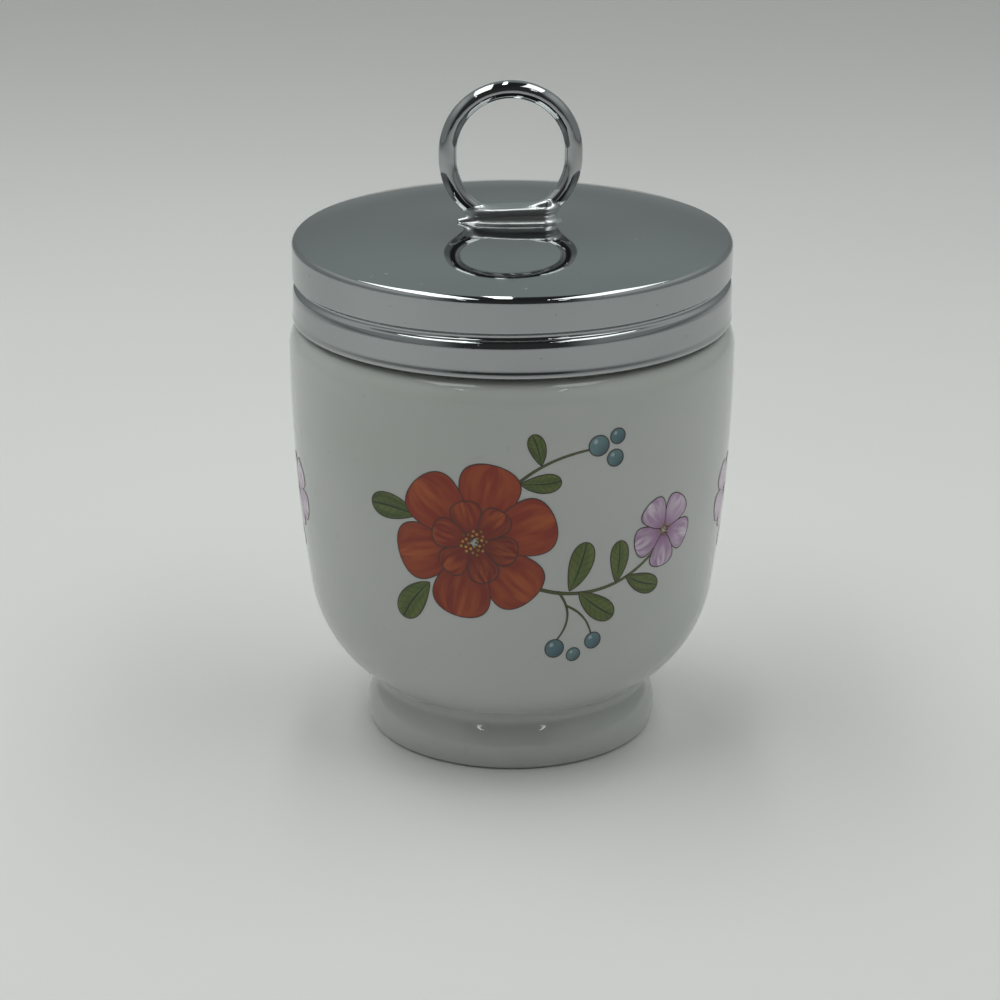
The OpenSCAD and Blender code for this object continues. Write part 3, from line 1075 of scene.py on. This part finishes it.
def sprig(sheets, middle, flip, main, minor):
    """A sprig about middle. flip is 1, or -1 for its mirror image."""
    def at(x, z):
        return np.array([middle + flip * x, z])

    def way(degrees):
        turn = math.radians(degrees)
        return turn if flip > 0 else math.pi - turn

    stems = [(0.62, (-4, 36), (4, 30.5), (13, 30), (22, 35)),
             (0.5, (-3, 42), (3, 48), (10, 50.2)),
             (0.4, (6, 30.2), (7.5, 26), (6, 22.8)),
             (0.36, (7.2, 28), (10, 25.8), (11.2, 23.4))]
    for width, *knots in stems:
        stem(sheets["stem"], [at(x, z) for x, z in knots], width)
    leaves = [(7.6, 30.1, 62, 7.4, 3.6), (9.0, 29.9, -48, 7.2, 3.4), (14.6, 30.4, 78, 6.2, 3.0),
              (16.2, 31.1, -34, 6.6, 3.0), (0.6, 46.0, -8, 5.6, 2.8), (3.4, 48.4, 96, 4.6, 2.4),
              (-12.0, 31.0, 222, 7.6, 4.0), (-13.6, 40.5, 165, 7.2, 3.8)]
    for x, z, heading, length, width in leaves:
        petal(sheets["leaf"], at(x, z), way(heading), length, width, bend=0.35 * flip,
              root=0.75, blunt=1.6, level=1, tone=0.5 + 0.3 * math.sin(x))
    large, small = at(-5.5, 37.5), at(22.5, 36.5)
    blossom(sheets[main], large, 6, 10.6, 8.4, way(75), level=3, tone=0.5)
    blossom(sheets[main], large, 6, 5.6, 4.4, way(105), level=6, tone=0.15)
    blossom(sheets[minor], small, 5, 5.0, 4.6, way(52), level=3, tone=0.6)
    for x, z, size in [(11.2, 50.6, 1.5), (13.6, 48.6, 1.25), (13.9, 51.6, 1.15),
                       (5.8, 21.6, 1.45), (11.6, 22.2, 1.3), (8.7, 20.4, 1.1)]:
        berry(sheets["berry"], at(x, z), size, 2, 0.5 + 0.4 * math.sin(3 * x))
    return [(large, 1.0), (small, 0.55)]


# %% Three sprigs round the cup
SHEET_NAMES = ("orange", "mauve", "leaf", "stem", "berry")
sheets = {name: Sheet("print_" + name) for name in SHEET_NAMES}
THIRD_TURN = 2 * math.pi * CUP_R / 3
hearts = sprig(sheets, 0.5, 1, "orange", "mauve")
hearts += sprig(sheets, THIRD_TURN, -1, "orange", "mauve")
hearts += sprig(sheets, -THIRD_TURN, 1, "mauve", "mauve")
print({name: len(sheet.faces) for name, sheet in sheets.items()})

# %% [markdown]
# ### Bending the sheet round the cup
# The flat sheets are bent round by Geometry Nodes: distance along the sheet
# becomes an angle, and the radius comes from the same two arcs as the side.

# %% Nodes that bend a flat sheet
def bend_round(g, flat, given):
    x, y, z = g.split(g.node("GeometryNodeInputPosition"))
    angle = x / given["Widest radius"]
    above = z - WALL_CENTRE[1] * MM
    side = WALL_CENTRE[0] * MM + ((WALL_CURVE_R * MM) ** 2 - above * above).root()
    below = z - BOWL_CENTRE_Z * MM
    bowl = BOWL_CENTRE[0] * MM + ((BOWL_R * MM) ** 2 - below * below).most(0).root()
    joint = (SHOULDER_Z - WALL_CURVE_R * math.sin(WALL_SWEEP)) * MM
    on_side = z > joint
    radius = side * on_side + bowl * (1 - on_side) - y
    return g.moved(flat, g.vector(X=radius * angle.sin(), Y=-(radius * angle.cos()), Z=z))


def wrap_graph():
    g, given = geometry_graph("wrap_nodes", "Widest radius")
    joined = g.node("GeometryNodeMergeByDistance", {
        "Geometry": given["Geometry"], "Distance": 1e-7})
    return close_graph(g, bend_round(g, joined, given), given["Finish"])


def wrapped(sheet, finish):
    flat = smooth_object(sheet.name + "_flat", sheet.points, sheet.faces)
    for mark, values in sheet.marks.items():
        layer = flat.data.attributes.new(mark, "FLOAT", "POINT")
        layer.data.foreach_set("value", np.array(values, np.float32))
    piece = grown(sheet.name, wrap_graph(), {"Widest radius": CUP_R * MM, "Finish": finish}, flat)
    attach(piece, "cup")
    return piece


# %% Inks
INK_LINE = rgb(58, 40, 36)
LINE_IN, LINE_OUT = 0.10, 0.19


def mark(g, name):
    return g.node("ShaderNodeAttribute", out="Fac", attribute_name=name)


def streaks(g, fine):
    """Brush marks that run along the shape."""
    run = g.vector(X=mark(g, "across") * fine, Y=mark(g, "along") * 1.6, Z=mark(g, "tone") * 9)
    return g.noise(run, 1.0, 2.0).ramp(0.35, 0.65)


def inked(g, colour, low=LINE_IN, high=LINE_OUT, dull=0.07):
    """The colour with a dark line along the shape's edge."""
    line = 1 - mark(g, "edge").ramp(low, high)
    return {"Base Color": g.blend(line, colour, INK_LINE), "Roughness": dull + line * 0.04}


def petal_ink(deep, middle, light):
    def paint(g):
        along, across = mark(g, "along"), mark(g, "across")
        body = g.blend(mark(g, "tone"), deep, middle)
        sheen = streaks(g, 3.4) * (1 - abs(across) * 0.7) * along.ramp(0.15, 0.75)
        body = g.blend(sheen * 0.8, body, light)
        throat = (1 - along.ramp(0.0, 0.42)) * 0.75
        return inked(g, g.blend(throat, body, deep))
    return paint


def leaf_ink(g):
    along, across = mark(g, "along"), mark(g, "across")
    body = g.blend(mark(g, "tone"), rgb(58, 78, 28), rgb(80, 98, 38))
    body = g.blend(streaks(g, 2.2) * 0.5, body, rgb(112, 122, 60))
    rib = 1 - abs(across).ramp(0.04, 0.10)
    vein = (along * 7 - abs(across) * 1.3).fraction() - 0.5
    side_vein = (1 - abs(vein).ramp(0.03, 0.09)) * 0.5
    return inked(g, g.blend(rib.most(side_vein), body, rgb(34, 46, 24)))


def stem_ink(g):
    body = g.blend(streaks(g, 2.0), rgb(60, 74, 34), rgb(90, 98, 54))
    return inked(g, body, 0.03, 0.12, 0.09)


def berry_ink(g):
    along, across = mark(g, "along"), mark(g, "across")
    body = g.blend(mark(g, "tone"), rgb(80, 112, 120), rgb(104, 132, 136))
    shade = (along * 0.8 - across * 0.35).ramp(0.2, 1.0)
    body = g.blend(shade * 0.7, body, rgb(46, 68, 80))
    away_x, away_y = across - 0.35, along * 2 - 0.6
    glint = 1 - (away_x * away_x + away_y * away_y).root().ramp(0.12, 0.3)
    return inked(g, g.blend(glint * 0.7, body, rgb(176, 190, 190)))


INKS = {
    "orange": petal_ink(rgb(112, 25, 4), rgb(150, 45, 10), rgb(176, 84, 32)),
    "mauve": petal_ink(rgb(136, 92, 134), rgb(188, 160, 188), rgb(220, 210, 220)),
    "leaf": leaf_ink, "stem": stem_ink, "berry": berry_ink}
for name in SHEET_NAMES:
    piece = wrapped(sheets[name], material("ink_" + name, {"IOR": 1.5}, INKS[name]))
    print(piece.name, len(piece.data.polygons))

# %% [markdown]
# ### Stamens
# The heart of each blossom is a spiral of dots, each turned by the golden
# angle from the last. That is a rule, so Geometry Nodes place the dots and
# then bend them round the cup with the same nodes as the sheets.

# %% Dots in the hearts of the blossoms
GOLDEN_ANGLE = math.radians(137.5)
HEART_LEVEL = 9


def stamen_graph():
    g, given = geometry_graph("stamen_nodes", "Count", "Spread", "Dot", "Widest radius")
    index = g.node("GeometryNodeInputIndex")
    out = (index + 0.6).root() / (given["Count"] + 0.0).root() * given["Spread"]
    golden = index * GOLDEN_ANGLE
    spot = g.vector(X=out * golden.cos(), Z=out * golden.sin())
    points = g.node("GeometryNodePoints", {"Count": given["Count"], "Position": spot})
    values = {"Vertices": 10, "Radius": given["Dot"]}
    disc = g.node("GeometryNodeMeshCircle", values, fill_type="TRIANGLE_FAN")
    upright = g.node("GeometryNodeTransform", {
        "Geometry": disc, "Rotation": (math.pi / 2, 0, 0)})
    cluster = g.node("GeometryNodeInstanceOnPoints", {"Points": points, "Instance": upright})
    size = g.node("GeometryNodeInputNamedAttribute", {"Name": "size"}, "Attribute")
    all_dots = g.node("GeometryNodeInstanceOnPoints", {
        "Points": given["Geometry"], "Instance": cluster, "Scale": size})
    real = g.node("GeometryNodeRealizeInstances", {0: all_dots})
    return close_graph(g, bend_round(g, real, given), given["Finish"])


def stamen_ink(g):
    drift = g.noise(g.place(), 900.0).ramp(0.35, 0.65)
    colour = g.blend(drift, rgb(92, 64, 30), rgb(190, 150, 60))
    return {"Base Color": colour, "Roughness": 0.1 + drift * 0.05}


heart_lift = PRINT_LIFT + HEART_LEVEL * LAYER_LIFT
heart_places = [(c[0] * MM, -heart_lift * MM, c[1] * MM) for c, _ in hearts]
heart_points = smooth_object("hearts", heart_places, [])
sizes = heart_points.data.attributes.new("size", "FLOAT", "POINT")
sizes.data.foreach_set("value", [size for _, size in hearts])
stamens = grown("print_stamens", stamen_graph(), {
    "Count": 26, "Spread": 1.9 * MM, "Dot": 0.2 * MM, "Widest radius": CUP_R * MM,
    "Finish": material("ink_stamen", {"IOR": 1.5}, stamen_ink)}, heart_points)
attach(stamens, "cup")
print("stamens have", len(stamens.data.polygons), "faces")

# %% [markdown]
# ## Floor and light
# The photograph shows a pale sheet that rises behind the object. Chrome is a
# mirror, so it shows the rest of the room too: two long soft panels overhead
# with a dark gap between them, four small lamps, pale sides, a dark room in
# front, and behind the sheet a wall that grows paler upwards.

# %% A pale sheet that curves up behind, with painted shade at the back
SWEEP_BACK = 330
SWEEP_R = 300
SWEEP_RISE = 28
SWEEP_FRONT = -1100
SWEEP_HALF_W = 1300


def make_sweep():
    end = math.radians(SWEEP_RISE - 90)
    bend = arc([SWEEP_BACK, SWEEP_R], SWEEP_R, -math.pi / 2, end, 24)
    line = np.vstack([[[SWEEP_FRONT, 0]], bend])
    points = [(side * SWEEP_HALF_W * MM, y * MM, z * MM) for side in (-1, 1) for y, z in line]
    count = len(line)
    faces = [(i, count + i, count + i + 1, i + 1) for i in range(count - 1)]
    return smooth_object("sweep", points, faces)


def paper_paint(g):
    place = g.place()
    drift = g.noise(place, 4.0, 2.0).ramp(0.3, 0.7)
    x, y, z = g.split(place)
    flat = g.blend(drift, rgb(224, 222, 222), rgb(220, 218, 218))
    return {
        # Painted shade: the sheet's colour is darker from 0.31 to 0.52 m back, standing in for
        # the overhead light falling off.
        "Base Color": g.blend(y.ramp(0.31, 0.52), flat, rgb(200, 198, 198)),
        "Roughness": 0.75 + drift * 0.1,
    }


sweep = make_sweep()
sweep.data.materials.append(material("pale_sheet", {"Specular IOR Level": 0.2}, paper_paint))
sweep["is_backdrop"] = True

# %% Two soft panels overhead and four small lamps
LIGHT_SPREAD = 130
LIGHT_TINT = (0.955, 1.0, 0.965)


def area_light(name, place, aim, size, power, length):
    data = bpy.data.lights.new(name, "AREA")
    data.shape = "RECTANGLE"
    data.size = size * MM
    data.size_y = length * MM
    data.energy = power
    data.color = LIGHT_TINT
    data.spread = math.radians(LIGHT_SPREAD)
    lamp = linked(name, data)
    lamp.location = Vector(place) * MM
    lamp.rotation_euler = (Vector(aim) - Vector(place)).to_track_quat("-Z", "Y").to_euler()


PANEL_Z = 600
for name, x, y, width, power, length in (
        ("left_panel", -262, -34, 230, 1.1, 715),
        ("right_panel", 288, -34, 222, 0.92, 715),
        ("left_front_lamp", -345, -650, 34, 0.125, 160),
        ("right_front_lamp", 350, -650, 34, 0.125, 160),
        ("small_lamp", -22, 115, 44, 0.23, 430),
        ("far_lamp", 175, -400, 16, 0.01, 14)):
    area_light(name, (x, y, PANEL_Z), (x, y, 0), width, power, length)

# %% The rest of the room
OVERHEAD_DARK = (0.03, 0.032, 0.032, 1)
FRONT_GREY = (0.045, 0.047, 0.047, 1)
BACK_LOW = (0.211, 0.24, 0.233, 1)
BACK_HIGH = (0.343, 0.39, 0.378, 1)
SIDE_GREY = (0.3, 0.32, 0.315, 1)
SIDE_GLOW = (0.6, 0.63, 0.62, 1)


def open_room():
    world = bpy.data.worlds.new("room")
    world.use_nodes = True
    g = Graph(world.node_tree)
    x, y, z = g.split(g.node("ShaderNodeTexCoord", out="Generated"))
    front = g.blend(z.ramp(0.35, 0.7), FRONT_GREY, OVERHEAD_DARK)
    back = g.blend(z.ramp(0.1, 0.6), BACK_LOW, BACK_HIGH)
    behind = g.blend(y.ramp(0.2, 0.62), front, back)
    beside = g.blend(z.ramp(0.25, 0.65), SIDE_GREY, SIDE_GLOW)
    colour = g.blend(abs(x).ramp(0.4, 0.75), behind, beside)
    g.feed(world.node_tree.nodes["Background"].inputs["Color"], colour)
    bpy.context.scene.world = world


open_room()
bpy.context.scene.view_settings.view_transform = "Standard"

# %% [markdown]
# ## Measure and finish
# The boxes of the engineering model and of the dressed object are printed
# side by side. The dressed object has to stay the size of the engineering
# model.

# %% Sizes and the end
def corners(box):
    return [[round(float(v), 6) for v in corner] for corner in box]


sizes = {"cad": corners(cad_box), "visual": corners(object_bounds())}
print(sizes)
